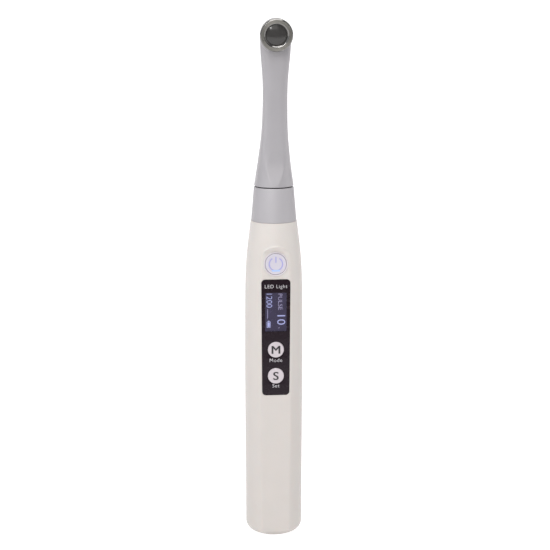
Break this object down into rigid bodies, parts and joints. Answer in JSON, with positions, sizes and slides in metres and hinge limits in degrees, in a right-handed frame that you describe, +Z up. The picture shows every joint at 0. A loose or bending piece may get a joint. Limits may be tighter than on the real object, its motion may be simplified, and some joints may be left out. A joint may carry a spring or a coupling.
{
  "type": "dental curing light",
  "caption": "Pen-shaped cordless dental curing light: white handle with display and keys, grey collar, and a tapering neck that swivels and carries a round steel-rimmed light head.",
  "frame": {"origin": "on the handle's axis at the base face that the light stands on", "axes": "+Z up the handle towards the head; -Y is the front, the side with the display, keys and light outlet; +X to the viewer's right when facing the display"},
  "size_m": [0.0284, 0.0314, 0.2549],
  "materials": {
    "white_housing": "satin moulded polycarbonate",
    "base_plastic": "fine matt texture",
    "neck_metal": "satin grey lacquer on aluminium",
    "bezel_steel": "turned stainless steel",
    "lens_glass": "polished",
    "seal_rubber": "matt",
    "reflector": "vacuum metallised",
    "board_copper": "white solder mask on a copper core",
    "led_die": "clear epoxy over dies",
    "thermal_gum": "matt",
    "turned_aluminium": "turned",
    "lead_insulation": "silicone insulation",
    "shaft_steel": "ground",
    "acetal": "as moulded",
    "contact_brass": "gold flashed",
    "cell_wrap": "shrink sleeve",
    "board_green": "solder mask over glass epoxy",
    "component_black": "moulded",
    "component_tan": "ceramic",
    "socket_nylon": "natural nylon",
    "panel_black": "hard-coated, printed",
    "window_clear": "hard-coated clear",
    "display_lit": "lit liquid-crystal face",
    "display_body": "white moulded frame",
    "ribbon": "polyimide film",
    "ring_plastic": "translucent",
    "power_cap": "translucent, lit from behind",
    "key_grey": "satin"
  },
  "bodies": {
    "handle": {"front_shell": "white_housing", "rear_shell": "white_housing", "base_cap": "base_plastic", "cap_screws": "shaft_steel", "charge_pins": "contact_brass", "battery_cell": "cell_wrap", "battery_pad": "seal_rubber", "battery_tabs": "shaft_steel", "battery_cradle": "acetal", "main_board": "board_green", "board_screws": "shaft_steel", "tact_switches": "component_black", "status_leds": "led_die", "controller_chip": "component_black", "driver_chip": "component_black", "power_coil": "component_black", "lead_socket": "socket_nylon", "capacitors": "component_tan", "buzzer": "component_black", "control_panel": "panel_black", "display_window": "window_clear", "display_glass": "display_lit", "display_frame": "display_body", "display_pad": "seal_rubber", "display_ribbon": "ribbon", "power_ring": "ring_plastic", "collar": "neck_metal", "swivel_bush": "acetal", "thrust_washer": "acetal", "brush_block": "acetal", "brushes": "contact_brass", "brush_leads": "lead_insulation", "battery_leads": "lead_insulation", "charge_leads": "lead_insulation"},
    "neck": {"neck_shell": "neck_metal", "head_bezel": "bezel_steel", "output_lens": "lens_glass", "lens_gasket": "seal_rubber", "reflector_cup": "reflector", "led_board": "board_copper", "led_chips": "led_die", "thermal_pad": "thermal_gum", "heat_slug": "turned_aluminium", "led_leads": "lead_insulation", "swivel_shaft": "shaft_steel", "swivel_o_ring": "seal_rubber", "retaining_clip": "shaft_steel", "slip_core": "acetal", "slip_rings": "contact_brass"},
    "power_key": {"power_button": "power_cap"},
    "mode_button": {"mode_key": "key_grey"},
    "set_button": {"set_key": "key_grey"}
  },
  "joints": [
    {"name": "neck_swivel", "type": "hinge", "parent": "handle", "child": "neck", "pos_m": [0, 0, 0.175], "axis": [0, 0, 1], "continuous": true},
    {"name": "power_press", "type": "slide", "parent": "handle", "child": "power_key", "axis": [0, 0.9987, -0.0509], "range_m": [0, 0.0004], "stiffness_N_per_m": 900, "springref_m": -0.0005},
    {"name": "mode_press", "type": "slide", "parent": "handle", "child": "mode_button", "axis": [0, 1, 0], "range_m": [0, 0.0004], "stiffness_N_per_m": 900, "springref_m": -0.0005},
    {"name": "set_press", "type": "slide", "parent": "handle", "child": "set_button", "axis": [0, 1, 0], "range_m": [0, 0.0004], "stiffness_N_per_m": 900, "springref_m": -0.0005}
  ]
}
